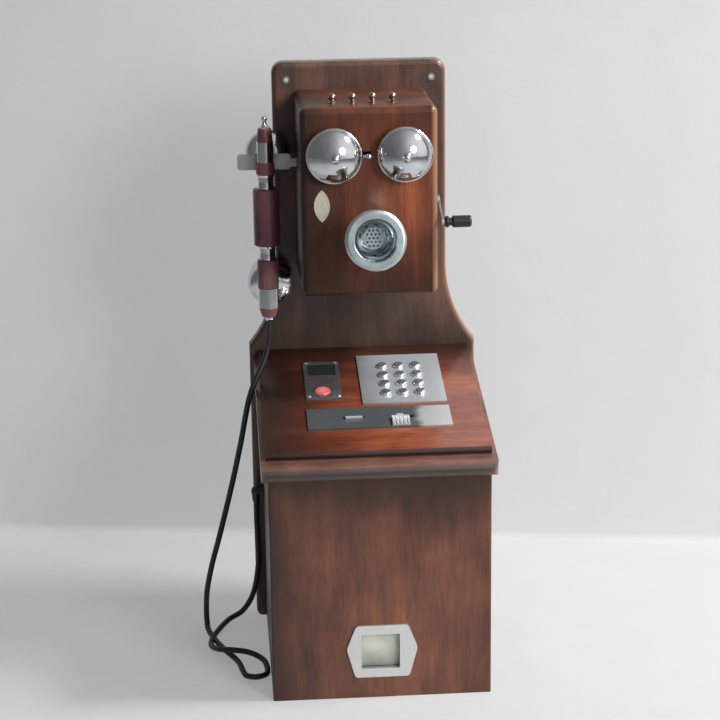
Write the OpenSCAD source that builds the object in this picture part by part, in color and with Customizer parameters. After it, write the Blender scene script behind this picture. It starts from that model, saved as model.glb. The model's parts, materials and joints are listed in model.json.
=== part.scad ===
// Wooden wall pay telephone: ringer box and hung handset over a sloped key desk and a coin cabinet.

/* [Back board] */
// height of the whole telephone
board_h = 718; // [700:1:760]
// width beside the ringer box
board_top_w = 212; // [204:1:230]
// width beside the cabinet
board_low_w = 284; // [278:1:300]
// thickness of the board
board_t = 20; // [16:1:26]
// radius of the sweep between the two widths
flare_r = 160; // [130:1:200]
// height where the sweep begins
flare_z = 465; // [450:1:490]
// radius of the top corners
board_corner_r = 14; // [9:1:20]
// radius of the bottom corners
board_foot_r = 8; // [4:1:12]
// rounding of the front edges
board_edge_r = 6; // [2:0.5:8]
// drop of the eyelets below the top edge
eyelet_drop = 21; // [18:1:28]
// spacing of the eyelets
eyelet_span = 176.4; // [170:0.2:182]
// bore radius of the eyelets
eyelet_bore_r = 2.25; // [1.75:0.05:2.6]

/* [Cabinet] */
// depth from the board's back to the front panel
base_d = 280; // [272:1:300]
// width over the side panels
cab_w = 259; // [250:1:264]
// thickness of the panels
panel_t = 12; // [10:1:14]
// thickness of the floor panel
floor_t = 10; // [8:1:14]
// rounding of the upright front edges
cab_edge_r = 3; // [1:0.5:5]

/* [Desk] */
// slope of the desk in degrees
desk_slope = 12.7; // [10:0.1:15]
// height of the lid's top at the back board
desk_back_z = 358.7; // [350:0.1:365]
// width of the desk board
desk_w = 274; // [268:1:284]
// length of the desk board down the slope
desk_len = 279; // [274:1:290]
// thickness of the desk board
desk_t = 18; // [16:1:22]
// rounding of the desk board's front corners, seen from above
desk_corner = 10; // [4:1:14]
// width of the lid
lid_w = 262.6; // [256:0.1:266]
// length of the lid down the slope
lid_len = 254.3; // [248:0.1:260]
// thickness of the lid
lid_t = 8; // [7:0.5:10]

/* [Keys] */
// side of the column pitch
key_pitch_x = 20.6; // [20:0.1:23]
// pitch of the rows down the slope
key_pitch_u = 22; // [20.5:0.1:23]
// radius of a key
key_r = 7; // [5.5:0.1:7.4]
// stroke of a key
key_travel = 2; // [1:0.1:2.4]
// width of the key plate
key_plate_w = 101.4; // [94:0.1:106]
// length of the key plate down the slope
key_plate_l = 118.8; // [112:0.1:122]
// thickness of the plates on the desk
plate_t = 2; // [1.5:0.1:2.5]

/* [Display] */
// width of the display plate
disp_w = 44; // [40:0.5:48]
// length of the display plate down the slope
disp_l = 91; // [86:0.5:96]
// radius of the red button
red_r = 9.4; // [8:0.1:10]

/* [Coin parts] */
// width of the coin plate
coin_plate_w = 170.5; // [160:0.5:180]
// length of the coin plate down the slope
coin_plate_l = 46.5; // [42:0.5:50]
// length of the coin slot
coin_slot_l = 26; // [22:0.1:27]
// width of the coin slot
coin_slot_w = 3; // [2.4:0.1:3.6]
// stroke of the return slide
slide_travel = 8; // [5:0.5:9]
// width of the return window
win_w = 45.4; // [40:0.2:48]
// height of the return window
win_h = 43; // [38:0.5:46]
// height of the window's lower edge
win_z = 38; // [34:0.5:40]
// thickness of the return plate
return_plate_t = 3; // [2:0.5:4]

/* [Ringer box] */
// width of the box
box_w = 160; // [154:1:168]
// height of the box
box_h = 223; // [216:1:226]
// depth of the box
box_d = 147; // [140:1:156]
// height of the box's underside
box_z = 462; // [456:1:468]
// thickness of the box walls
box_wall = 12; // [10:1:14]
// thickness of the front board
front_t = 15; // [12:1:18]
// rounding of the box edges
box_r = 8; // [5:0.5:9]
// radius of a binding post's ball
post_ball_r = 4.6; // [3.6:0.1:5.2]
// spacing of the binding posts
post_pitch = 23.5; // [20:0.5:26]

/* [Gongs] */
// diameter of a gong
gong_d = 65; // [58:0.5:66]
// height of a gong's dome
gong_h = 20; // [18:0.5:22]
// wall of a gong
gong_t = 1.6; // [1.2:0.1:2]
// distance of each gong from the middle
gong_x = 41; // [40:0.2:43]
// gap between a gong's rim and the box
gong_gap = 12; // [10:0.5:15]
// radius of the bead round a gong's rim
gong_bead_r = 1.8; // [1.2:0.1:2]

/* [Mouthpiece] */
// radius of the horn's rim
horn_r = 35.3; // [32:0.1:40]
// length of the horn along its axis
horn_l = 73; // [66:0.5:80]
// upward tilt of the horn in degrees
horn_tilt = 8; // [5:0.2:14]
// radius of the perforated face
face_r = 13; // [11:0.1:14]

/* [Handset] */
// distance of the handset's axis from the box side
handset_out = 38; // [34:0.5:42]
// radius of the wooden grip
grip_r = 15.8; // [13:0.1:16.8]
// length of the wooden grip
grip_l = 68.5; // [60:0.5:76]
// radius of the ear cup
ear_r = 26.9; // [24:0.1:29]
// radius of the mouth cup
mouth_r = 28; // [25:0.1:29]
// stroke of the hook lever in degrees
hook_throw = 8; // [5:0.5:9]

/* [Crank] */
// length of the crank arm between its axes
crank_l = 50; // [42:1:58]
// radius of the crank grip
crank_grip_r = 7; // [6:0.1:8]
// length of the crank grip
crank_grip_l = 31.6; // [26:0.2:36]

/* [Cord] */
// diameter of the cord
cord_d = 7; // [5:0.5:7]

/* [Hidden] */
$fn = 64;

// running gap between pieces that move
gap = 0.3;
// radial clearance of a pin in its bore
run = 0.05;

eyelet_z = board_h - eyelet_drop;
board_back = base_d / 2;
board_front = board_back - board_t;
cab_front = -base_d / 2;
box_front_y = board_front - box_d;
box_back_y = box_front_y + front_t;
box_mid_z = box_z + box_h / 2;
box_side = box_w / 2;

gong_z = box_z + 169.4;
gong_rim_y = box_front_y - gong_gap;
gong_ball_r = (pow(gong_d / 2, 2) + pow(gong_h, 2)) / (2 * gong_h);
clap_x = -6.2;
clap_ball_x = -1.4;
clap_arm = 60;
clap_z = gong_z - clap_arm;
clap_pin_r = 1.5;

horn_x = 1.4;
horn_z = box_z + 72.4;
horn_face_s = 36;

hook_z = box_z + 143;
hook_x = -box_side + 35;
hook_t = 4;
hook_pin_r = 3;

hs_x = -box_side - handset_out;
hs_y = board_front - 68;
fork_y = hs_y + 18;
neck_r = 7;
ear_tilt = 11;
mouth_tilt = 10;
cup_yaw = 5;
tip_l = 5;
cap_l = 12;
mouth_barrel_l = 24;
low_wood_l = 35;
collar_l = 18;
ring_l = 14.5;
ear_barrel_l = 24.5;
top_wood_l = 16;
finial_l = 14.5;
ear_z = hook_z + 17.3;
z_ring = ear_z - ear_barrel_l / 2 - ring_l;
z_collar_up = z_ring - collar_l;
z_grip = z_collar_up - grip_l;
z_collar_low = z_grip - collar_l;
z_low_wood = z_collar_low - low_wood_l;
z_mouth = z_low_wood - mouth_barrel_l;
z_cap = z_mouth - cap_l;
z_tip = z_cap - tip_l;
z_top_wood = ear_z + ear_barrel_l / 2;
z_finial = z_top_wood + top_wood_l;
mouth_z = z_mouth + mouth_barrel_l / 2;
ear_barrel_r = 10;
mouth_barrel_r = 12.5;
cup_l = 59;
cup_back_s = 25;
cup_bed_s = 48;
cup_cut = 40;
capsule_t = 8;

crank_y = board_front - 104;
crank_z = box_z + 103;
crank_drop = 18;
crank_shaft_r = 4;
bush_r = 8;
bush_flange = 3;
arm_x = box_side + bush_flange + 0.4;
arm_t = 3;
grip_pin_r = 2.5;

key_mid_x = 40.2;
key_first_u = 57.5;
key_plate_u = 27.7;
disp_mid_x = -55.5;
disp_u = 40;
red_x = disp_mid_x - 1.2;
red_u = disp_u + 74.2;
disp_screw_in = 4.3;
glass_w = 34;
glass_l = 28;
glass_u = disp_u + 6;
coin_plate_x = 6.25;
coin_plate_u = 156;
coin_x = -23.8;
coin_u = coin_plate_u + 22;
coin_bar_l = 20;
coin_bar_t = 3;
slide_x = 31;
slide_u = coin_plate_u + 36;
slide_slot_u = coin_plate_u + 23;
slide_slot_w = 6;
slide_stem_w = 8;
chute_w = 32;
chute_t = 12;
chute_l = 120;
coin_box_w = 120;
coin_box_d = 120;
coin_box_h = 100;
coin_box_gap = 7;

win_x = -2;
flap_y = cab_front + 6;
flap_t = 1.5;
pocket_t = 1.5;
pocket_w = win_w + 2 * gap;
pocket_h = win_h + 2 * gap;
pocket_d = 65;
flap_pin_r = 1.5;
flap_z = win_z + win_h - 3;

gland_y = board_front - 23;
gland_z = 180;
gland_r = 6;
gland_out = 10;
gland_drop = 14;
gland_x = -cab_w / 2 - gland_out;

// the cord's way from the handset's tip to the floor, round one loop and up to the gland
cord_r = cord_d / 2;
floor_z = cord_r + 0.7;
cord_path = [
  [hs_x, hs_y, z_tip - 0.1], [hs_x, hs_y, z_tip - 13], [-119.5, 52, 387], [-123, 50, 372],
  [-129, 46, 357], [-138, 42, 340], [-145, 40, 321], [-150, 42, 299], [-157, 47, 262],
  [-167, 53, 216], [-177, 56, 175], [-188, 60, 132], [-198, 66, 94], [-205, 74, 58],
  [-207, 81, 32], [-207, 80, 13], [-204, 62, floor_z], [-189, 14, floor_z],
  [-170, -30, floor_z], [-163, -64.5, floor_z], [-158.8, -74.8, floor_z], [-148.5, -79, floor_z],
  [-138.2, -74.8, floor_z], [-134, -64.5, floor_z], [-136, -39, 4.8], [-144, -25, 6.8], [-158, -18, 10.3],
  [-176, -15, 12.3], [-191, -7, 10.3], [-200, 10, 6.3], [-202, 29, 4.6], [-196, 57, floor_z],
  [-180, 93, 6], [-160, 105, 14], [-146, 106, 38], [-139, 103, 78], [-139, 100, 116],
  [gland_x, gland_y, gland_z - gland_drop - 26], [gland_x, gland_y, gland_z - gland_drop - 13],
  [gland_x, gland_y, gland_z - gland_drop]];
cord_rings = 78;
cord_sides = 10;

function unit(v) = v / norm(v);
function arc(cx, cy, r, a, b, n) = [for (i = [0:n]) let (t = a + (b - a) * i / n) [cx + r * cos(t),
  cy + r * sin(t)]];
function bow(a, p, b, cut, n) = let (s = p + unit(a - p) * cut, e = p + unit(b - p) * cut)
  [for (i = [0:n]) let (k = i / n) pow(1 - k, 2) * s + 2 * k * (1 - k) * p + k * k * e];
function soft_corners(p, cut, n) = let (m = len(p))
  [for (i = [0:m - 1]) each bow(p[(i + m - 1) % m], p[i], p[(i + 1) % m], cut, n)];
function spline(p, i, k) = let (m = len(p) - 1, a = p[max(i - 1, 0)], b = p[i], c = p[min(i + 1, m)],
  d = p[min(i + 2, m)])
  0.5 * (2 * b + (c - a) * k + (2 * a - 5 * b + 4 * c - d) * k * k + (3 * b - a - 3 * c + d) * k * k * k);
function along(p, n) = [for (i = [0:n - 1]) let (t = i * (len(p) - 1) / (n - 1), s = min(floor(t),
  len(p) - 2)) spline(p, s, t - s)];
function heading(q, i) = i == 0 ? unit(cord_path[1] - cord_path[0])
  : i == len(q) - 1 ? unit(cord_path[len(cord_path) - 1] - cord_path[len(cord_path) - 2])
  : unit(q[i + 1] - q[i - 1]);
function square_to(v, t) = unit(v - (v * t) * t);
function sides(q) = [for (i = 0, v = square_to([1, 0, 0], heading(q, 0)); i < len(q);
  i = i + 1, v = i < len(q) ? square_to(v, heading(q, i)) : v) v];

module on_desk() {
  translate([0, board_front, desk_back_z]) rotate([desk_slope, 0, 0]) children();
}

// a block on the desk, given by its middle across, its start and length down the slope, and two levels
module slab(x, w, u, l, low, high) {
  translate([x - w / 2, -u - l, low]) cube([w, l, high - low]);
}

module desk_pin(x, u, r, low, high) {
  translate([x, -u, low]) cylinder(r = r, h = high - low);
}

module rod_y(x, z, y0, y1, r) {
  translate([x, y0, z]) rotate([-90, 0, 0]) cylinder(r = r, h = y1 - y0);
}

module rod_x(y, z, x0, x1, r) {
  translate([x0, y, z]) rotate([0, 90, 0]) cylinder(r = r, h = x1 - x0);
}

module block(x0, x1, y0, y1, z0, z1) {
  translate([x0, y0, z0]) cube([x1 - x0, y1 - y0, z1 - z0]);
}

module round_rect(w, h, r) {
  square([w - 2 * r, h], center = true);
  square([w, h - 2 * r], center = true);
  for (sx = [-1, 1]) for (sy = [-1, 1]) translate([sx * (w / 2 - r), sy * (h / 2 - r)]) circle(r);
}

// an outline drawn in width and height, given depth from y0 to y1
module upright(y0, y1) {
  translate([0, y1, 0]) rotate([90, 0, 0]) linear_extrude(y1 - y0) children();
}

module turned(x, y, z0, p) {
  translate([x, y, z0]) rotate_extrude() polygon(p);
}

module below_desk(low) {
  difference() {
    children();
    on_desk() translate([-300, -500, low]) cube([600, 700, 300]);
  }
}

// back board

module board_outline() {
  difference() {
    union() {
      translate([-board_low_w / 2, board_foot_r]) square([board_low_w, flare_z - board_foot_r]);
      translate([-board_low_w / 2 + board_foot_r, 0]) square([board_low_w - 2 * board_foot_r,
        board_foot_r]);
      for (s = [-1, 1]) translate([s * (board_low_w / 2 - board_foot_r), board_foot_r])
        circle(board_foot_r);
      translate([-board_top_w / 2, flare_z - 1]) square([board_top_w,
        board_h - flare_z + 1 - board_corner_r]);
      translate([-board_top_w / 2 + board_corner_r, board_h - board_corner_r - 1])
        square([board_top_w - 2 * board_corner_r, board_corner_r + 1]);
      for (s = [-1, 1]) translate([s * (board_top_w / 2 - board_corner_r), board_h - board_corner_r])
        circle(board_corner_r);
    }
    for (s = [-1, 1]) translate([s * (board_top_w / 2 + flare_r), flare_z]) circle(flare_r);
  }
}

// the sliver taken off a front edge: material lies at negative x and positive y
module edge_sliver() {
  difference() {
    translate([-board_edge_r, -1]) square([board_edge_r + 1, board_edge_r + 1]);
    translate([-board_edge_r, board_edge_r]) circle(board_edge_r);
  }
}

module board_edges() {
  flare_in = (board_low_w - board_top_w) / 2;
  flare_foot = flare_z - sqrt(pow(flare_r, 2) - pow(flare_r - flare_in, 2));
  translate([board_low_w / 2, board_front, -1]) linear_extrude(flare_foot + 1) edge_sliver();
  translate([board_top_w / 2, board_front, flare_z]) linear_extrude(board_h - board_corner_r - flare_z)
    edge_sliver();
  translate([board_top_w / 2 + flare_r, board_front, flare_z]) rotate([90, 0, 0]) rotate_extrude()
    difference() {
    translate([flare_r - 1, -board_edge_r]) square([board_edge_r + 1, board_edge_r + 1]);
    translate([flare_r + board_edge_r, -board_edge_r]) circle(board_edge_r);
  }
  translate([board_top_w / 2 - board_corner_r, board_front, board_h - board_corner_r]) rotate([90, 0, 0])
    rotate_extrude(angle = 90) difference() {
      translate([board_corner_r - board_edge_r, -board_edge_r]) square([board_edge_r + 1,
        board_edge_r + 1]);
      translate([board_corner_r - board_edge_r, -board_edge_r]) circle(board_edge_r);
    }
  top_run = board_top_w / 2 - board_corner_r;
  translate([top_run, board_front, board_h]) rotate([0, -90, 0]) linear_extrude(top_run + 1) edge_sliver();
}

module backboard() {
  color("#5d3a33") difference() {
    upright(board_front, board_back) board_outline();
    board_edges();
    mirror([1, 0, 0]) board_edges();
    for (s = [-1, 1]) rod_y(s * eyelet_span / 2, eyelet_z, board_front - 1, board_back + 1,
      eyelet_bore_r + 1);
  }
}

module eyelets() {
  lip = 0.8;
  color("#d8d8d8") for (s = [-1, 1]) difference() {
    union() {
      rod_y(s * eyelet_span / 2, eyelet_z, board_front - lip, board_back + lip, eyelet_bore_r + 1);
      rod_y(s * eyelet_span / 2, eyelet_z, board_front - lip, board_front, eyelet_bore_r + 2.2);
      rod_y(s * eyelet_span / 2, eyelet_z, board_back, board_back + lip, eyelet_bore_r + 2.2);
    }
    rod_y(s * eyelet_span / 2, eyelet_z, board_front - 5, board_back + 5, eyelet_bore_r);
  }
}

// cabinet and desk

module front_panel() {
  x = cab_w / 2;
  color("#5d3a33") below_desk(-lid_t - desk_t) difference() {
    linear_extrude(desk_back_z) union() {
      translate([-x, cab_front + cab_edge_r]) square([cab_w, panel_t - cab_edge_r]);
      translate([-x + cab_edge_r, cab_front]) square([cab_w - 2 * cab_edge_r, cab_edge_r]);
      for (s = [-1, 1]) translate([s * (x - cab_edge_r), cab_front + cab_edge_r]) circle(cab_edge_r);
    }
    block(win_x - pocket_w / 2 - pocket_t - 0.2, win_x + pocket_w / 2 + pocket_t + 0.2, cab_front - 1,
      cab_front + panel_t + 1, win_z - gap - pocket_t - 0.2, win_z - gap + pocket_h + pocket_t + 0.2);
  }
}

module side_panels() {
  color("#4a2b26") below_desk(-lid_t - desk_t) difference() {
    for (s = [-1, 1]) translate([s * (cab_w / 2 - panel_t / 2), 0, 0])
      block(-panel_t / 2, panel_t / 2, cab_front + panel_t, board_front, 0, desk_back_z);
    rod_x(gland_y, gland_z, -cab_w / 2 - 1, -cab_w / 2 + panel_t + 1, gland_r);
  }
}

module floor_panel() {
  color("#4a2b26") block(-cab_w / 2 + panel_t, cab_w / 2 - panel_t, cab_front + panel_t, board_front, 0,
    floor_t);
}

module coin_well(low) {
  slab(coin_x, chute_w + 1, coin_u - chute_t / 2 - 0.5, chute_t + 1, low, 1);
}

module desk_outline() {
  side = desk_w / 2;
  translate([-side, -desk_len + desk_corner]) square([desk_w, desk_len]);
  translate([-side + desk_corner, -desk_len - 1]) square([desk_w - 2 * desk_corner, desk_corner + 2]);
  for (s = [-1, 1]) translate([s * (side - desk_corner), -desk_len + desk_corner]) circle(r = desk_corner);
}

module desk_board() {
  nose = desk_t / 2;
  color("#6a3a2c") difference() {
    on_desk() difference() {
      intersection() {
        union() {
          slab(0, desk_w, 0, desk_len - nose, -lid_t - desk_t, -lid_t);
          translate([-desk_w / 2, -desk_len + nose, -lid_t - nose]) rotate([0, 90, 0])
            cylinder(r = nose, h = desk_w);
        }
        translate([0, 0, -lid_t - desk_t - 1]) linear_extrude(desk_t + 2) desk_outline();
      }
      coin_well(-lid_t - desk_t - 1);
    }
    block(-desk_w, desk_w, board_front, board_front + 100, 0, board_h);
  }
}

module screw_spots() {
  for (s = [-1, 1]) for (u = [disp_u + disp_screw_in, disp_u + disp_l - disp_screw_in])
    translate([disp_mid_x + s * (disp_w / 2 - disp_screw_in + 0.2), -u, 0]) children();
}

module desk_lid() {
  nose = lid_t / 2;
  hole = key_r + 2;
  color("#6e3d2c") difference() {
    on_desk() difference() {
      union() {
        slab(0, lid_w, 0, lid_len - nose, -lid_t, 0);
        translate([-lid_w / 2, -lid_len + nose, -nose]) rotate([0, 90, 0]) cylinder(r = nose, h = lid_w);
      }
      slab(key_mid_x, 2 * key_pitch_x + 2 * hole + 4, key_first_u - hole - 2,
        3 * key_pitch_u + 2 * hole + 4, -lid_t - 1, 1);
      desk_pin(red_x, red_u, red_r + 2.5, -lid_t + 2, 1);
      coin_well(-lid_t - 1);
      slab(slide_x + slide_travel / 2 + 1, slide_stem_w + slide_travel + 10, slide_slot_u - 7, 14, -4, 1);
      screw_spots() translate([0, 0, -lid_t + 1]) cylinder(r = 1.2, h = lid_t);
    }
    block(-desk_w, desk_w, board_front, board_front + 100, 0, board_h);
  }
}

// ringer box

module box_frame() {
  color("#6a3a2c") difference() {
    upright(box_back_y, board_front) translate([0, box_mid_z]) difference() {
      round_rect(box_w, box_h, box_r);
      square([box_w - 2 * box_wall, box_h - 2 * box_wall], center = true);
    }
    rod_x(crank_y, crank_z, box_side - box_wall - 1, box_side + 1, bush_r);
    block(-box_side - 1, -box_side + box_wall + 1, fork_y - 1, fork_y + hook_t + 1, hook_z - 7,
      hook_z + 12);
  }
}

module box_front() {
  w = box_w / 2 - box_r;
  h = box_h / 2 - box_r;
  color("#7a4330") difference() {
    hull() for (sx = [-1, 1]) for (sz = [-1, 1]) {
      translate([sx * w, box_front_y + box_r, box_mid_z + sz * h]) sphere(r = box_r, $fn = 32);
      translate([sx * w, box_back_y, box_mid_z + sz * h]) rotate([90, 0, 0]) cylinder(r = box_r, h = 2,
        $fn = 32);
    }
    block(-box_w, box_w, box_back_y, box_back_y + box_r, box_z - 1, box_z + box_h + 1);
    block(clap_x - 3, clap_x + 9, box_front_y - 1, box_back_y + 1, gong_z - 2.6, gong_z + 2.6);
  }
}

module binding_posts() {
  z = box_z + box_h;
  color("#8a6a3a") for (i = [0:3])
    turned((i - 1.5) * post_pitch - 4.3, board_front - 111, z, concat(
      [[0, 0], [5.2, 0], [5.2, 1.2], [3.2, 1.8], [2.4, 2.4], [2.4, 3.4]],
      arc(0, 3.4 + post_ball_r * 0.85, post_ball_r, -58, 90, 14)));
}

module badge() {
  reach = 24.1;
  off = 14.9;
  color("#c9c3ad") upright(box_front_y - 1.5, box_front_y) translate([-55.6, box_z + 109]) intersection() {
    translate([-off, 0]) circle(reach);
    translate([off, 0]) circle(reach);
  }
}

module gongs() {
  sink = gong_ball_r - gong_h;
  color("#d0d0d0") for (s = [-1, 1]) translate([s * gong_x, gong_rim_y, gong_z]) rotate([90, 0, 0])
    rotate_extrude() difference() {
    union() {
      difference() {
        translate([0, -sink]) circle(gong_ball_r);
        translate([0, -sink]) circle(gong_ball_r - gong_t);
        translate([-100, -200]) square([200, 200]);
      }
      translate([gong_d / 2 - gong_bead_r, gong_bead_r]) circle(gong_bead_r);
    }
    translate([-100, -100]) square([103.1, 200]);
  }
}

module gong_posts() {
  inside = gong_gap + gong_h - gong_t;
  color("#c8c8c8") for (s = [-1, 1]) translate([s * gong_x, box_front_y, gong_z]) rotate([90, 0, 0]) {
    rotate_extrude() polygon([[0, 0], [9, 0], [9, 1.5], [4.5, 2.5], [4.5, inside - 0.3], [3, inside - 0.3],
      [3, inside + gong_t], [0, inside + gong_t]]);
    translate([0, 0, inside + gong_t]) rotate_extrude() polygon(concat(
      [[0, 0], [6.2, 0], [6.2, 1.2]], arc(0, 1.2, 5, 0, 90, 10)));
  }
}

module ringer_frame() {
  y = box_back_y + 26;
  color("#8f9296") {
    block(-32, 32, y, y + 2.5, clap_z - 40, clap_z + 16);
    for (x = [-26, 26]) for (z = [clap_z - 34, clap_z + 10]) rod_y(x, z, box_back_y, y + 1, 4);
    rod_y(clap_x, clap_z, y - 13, y + 1, clap_pin_r);
  }
}

module ringer_coils() {
  y = box_back_y + 28.5;
  color("#7a3b1e") for (x = [-16, 16]) translate([x, y, clap_z - 13]) rotate([-90, 0, 0])
    rotate_extrude() polygon([[0, 0], [13, 0], [13, 2], [11, 2], [11, 32], [13, 32], [13, 34], [0, 34]]);
}

module clapper() {
  y = box_back_y + 16;
  ball_y = gong_rim_y - 6;
  color("#b8bcc0") difference() {
    union() {
      rod_y(clap_x, clap_z, y, y + 5, 4.5);
      block(clap_x - 20, clap_x + 20, y, y + 5, clap_z - 11, clap_z - 5);
      block(clap_x - 4, clap_x + 4, y, y + 5, clap_z - 6, clap_z);
      translate([clap_x, y + 2.5, clap_z + 3]) cylinder(r = 1.2, h = clap_arm - 3);
      translate([clap_x, y + 2.5, gong_z]) sphere(r = 1.2);
      rod_y(clap_x, gong_z, ball_y, y + 2.5, 1.2);
      translate([clap_x, ball_y, gong_z]) sphere(r = 1.8);
      rod_x(ball_y, gong_z, clap_x, clap_ball_x, 1.8);
      translate([clap_ball_x, ball_y, gong_z]) sphere(r = 3.2);
    }
    rod_y(clap_x, clap_z, y - 1, y + 6, clap_pin_r + run);
  }
}

// mouthpiece

module horn_axis() {
  translate([horn_x, box_front_y, horn_z]) rotate([90 - horn_tilt, 0, 0]) children();
}

module mouth_horn() {
  inner_r = horn_r * 0.71;
  color("#b4bcc4") difference() {
    union() {
      horn_axis() rotate_extrude() polygon(concat(
        [[0, -4], [17, -4], [17, 22]], bow([17, 22], [19, 46], [horn_r - 4, horn_l - 13], 24, 8),
        [[horn_r - 3, horn_l - 11]], arc(horn_r - 4, horn_l - 4, 4, -40, 90, 8),
        [[inner_r, horn_l], [inner_r - 1, horn_l - 4]], arc(inner_r - 9, horn_l - 10, 8.4, 20, -60, 6),
        [[face_r, horn_face_s + 4], [face_r, horn_face_s - 4], [0, horn_face_s - 4]]));
      rod_y(horn_x, horn_z, box_front_y - 4, box_front_y, 26);
    }
    block(-100, 100, box_front_y, box_front_y + 100, horn_z - 100, horn_z + 100);
  }
}

module mouth_capsule() {
  pitch = 4.7;
  rise = 4.4;
  color("#c4cad0") horn_axis() translate([0, 0, horn_face_s - 4]) difference() {
    cylinder(r = face_r, h = 4);
    for (col = [-1:1]) translate([col * pitch, 0, 1]) cylinder(r = 1.2, h = 5);
    for (row = [-1, 1]) for (col = [-1.5:1.5]) translate([col * pitch, row * rise, 1]) cylinder(r = 1.2,
      h = 5);
    for (row = [-2, 2]) for (col = [-1:1]) translate([col * pitch, row * rise, 1]) cylinder(r = 1.2, h = 5);
  }
}

// hook

module hook_lever() {
  low = hook_z - 8;
  high = hook_z + 11;
  neck_z = ear_z - (fork_y + hook_t - hs_y) * tan(ear_tilt);
  neck_x = hs_x + (fork_y + hook_t / 2 - hs_y) * tan(cup_yaw);
  color("#9a9a9a") difference() {
    union() {
      upright(fork_y, fork_y + hook_t) translate([hs_x - 1, (low + high) / 2]) round_rect(64,
        high - low, 4);
      block(hs_x + 24, hook_x, fork_y, fork_y + hook_t, hook_z - 5, hook_z + 5);
      block(hook_x, hook_x + 33, fork_y, fork_y + hook_t, hook_z - 4, hook_z + 4);
      rod_y(hook_x, hook_z, fork_y, fork_y + hook_t, 8);
    }
    rod_y(hook_x, hook_z, fork_y - 1, fork_y + hook_t + 1, hook_pin_r + run);
    rod_y(neck_x, neck_z, fork_y - 1, fork_y + hook_t + 1, neck_r + 0.7);
  }
}

module hook_bracket() {
  color("#8f9296") {
    rod_y(hook_x, hook_z, board_front - 4, board_front, 15);
    rod_y(hook_x, hook_z, fork_y + hook_t + 0.4, board_front - 3, 6);
    rod_y(hook_x, hook_z, fork_y - 0.5, fork_y + hook_t + 1, hook_pin_r);
    rod_y(hook_x, hook_z, fork_y - 3, fork_y - 0.4, 5.5);
  }
}

module hook_switch() {
  x = hook_x + 20;
  z = hook_z + 4.3;
  color("#2e2a26") {
    block(x - 2, x + 16, board_front - 26, board_front, z - 4, z + 18);
    for (i = [0:2]) block(x + 3, x + 11, fork_y - 2, board_front - 25, z + i * 4.5, z + i * 4.5 + 0.8);
  }
}

// handset

module handset_grip() {
  color("#5a2b30") turned(hs_x, hs_y, z_grip, [[0, 0], [grip_r - 1, 0], [grip_r, 1], [grip_r,
    grip_l - 1], [grip_r - 1, grip_l], [0, grip_l]]);
}

module handset_rings() {
  color("#5a2b30") {
    turned(hs_x, hs_y, z_top_wood, [[0, 0], [9.4, 0], [9.8, 1], [8, top_wood_l - 1], [7, top_wood_l],
      [0, top_wood_l]]);
    turned(hs_x, hs_y, z_ring, [[0, 0], [11, 0], [11.4, 1], [10.6, ring_l - 1], [10.2, ring_l], [0,
      ring_l]]);
    turned(hs_x, hs_y, z_low_wood, [[0, 0], [11.8, 0], [12.6, 1], [13, low_wood_l / 2], [12.8,
      low_wood_l - 1],
      [12, low_wood_l], [0, low_wood_l]]);
    turned(hs_x, hs_y, z_cap, [[0, 0], [8, 0], [8.8, 1], [12, cap_l - 1], [11.6, cap_l], [0, cap_l]]);
  }
}

module handset_collars() {
  color("#cfd2d4") for (z = [z_collar_up, z_collar_low])
    turned(hs_x, hs_y, z, [[0, 0], [10.3, 0], [10.7, 1], [9.7, 3], [9.4, collar_l / 2], [9.7, collar_l - 3],
      [10.4, collar_l - 1], [10, collar_l], [0, collar_l]]);
}

module ear_barrel() {
  color("#cfd2d4") turned(hs_x, hs_y, ear_z - ear_barrel_l / 2, [[0, 0], [ear_barrel_r, 0],
    [ear_barrel_r, ear_barrel_l], [0, ear_barrel_l]]);
}

module mouth_barrel() {
  color("#cfd2d4") turned(hs_x, hs_y, z_mouth, [[0, 0], [mouth_barrel_r, 0], [mouth_barrel_r,
    mouth_barrel_l], [0, mouth_barrel_l]]);
}

module cup_axis(z, tilt) {
  translate([hs_x, hs_y, z]) rotate([0, 0, -cup_yaw]) rotate([tilt - 90, 0, 0]) children();
}

module cup(r) {
  bed_r = r - 3;
  rotate_extrude() polygon(concat(
    [[0, 0], [neck_r, 0], [neck_r, cup_back_s - 0.2]],
    bow([neck_r, cup_back_s], [r, cup_back_s], [r, cup_l], r - neck_r - 0.4, 12), [[r, cup_l - 2.5]],
      arc(r - 2, cup_l - 2, 2, 0, 90, 5),
    [[bed_r, cup_l], [bed_r, cup_bed_s], [0, cup_bed_s]]));
}

module ear_cup() {
  color("#cfd2d4") difference() {
    cup_axis(ear_z, -ear_tilt) cup(ear_r);
    translate([hs_x, hs_y, ear_z - cup_cut]) cylinder(r = ear_barrel_r, h = 2 * cup_cut);
  }
}

module mouth_cup() {
  color("#cfd2d4") difference() {
    cup_axis(mouth_z, mouth_tilt) cup(mouth_r);
    translate([hs_x, hs_y, mouth_z - cup_cut]) cylinder(r = mouth_barrel_r, h = 2 * cup_cut);
  }
}

module capsule(r) {
  difference() {
    translate([0, 0, cup_bed_s]) cylinder(r = r, h = capsule_t);
    for (a = [0:60:300]) rotate([0, 0, a]) translate([r * 0.4, 0, cup_bed_s + 2]) cylinder(r = 1.2,
      h = capsule_t);
    translate([0, 0, cup_bed_s + 2]) cylinder(r = 1.2, h = capsule_t);
  }
}

module cup_capsules() {
  color("#26262a") {
    cup_axis(ear_z, -ear_tilt) capsule(ear_r - 3.1);
    cup_axis(mouth_z, mouth_tilt) capsule(mouth_r - 3.1);
  }
}

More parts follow.
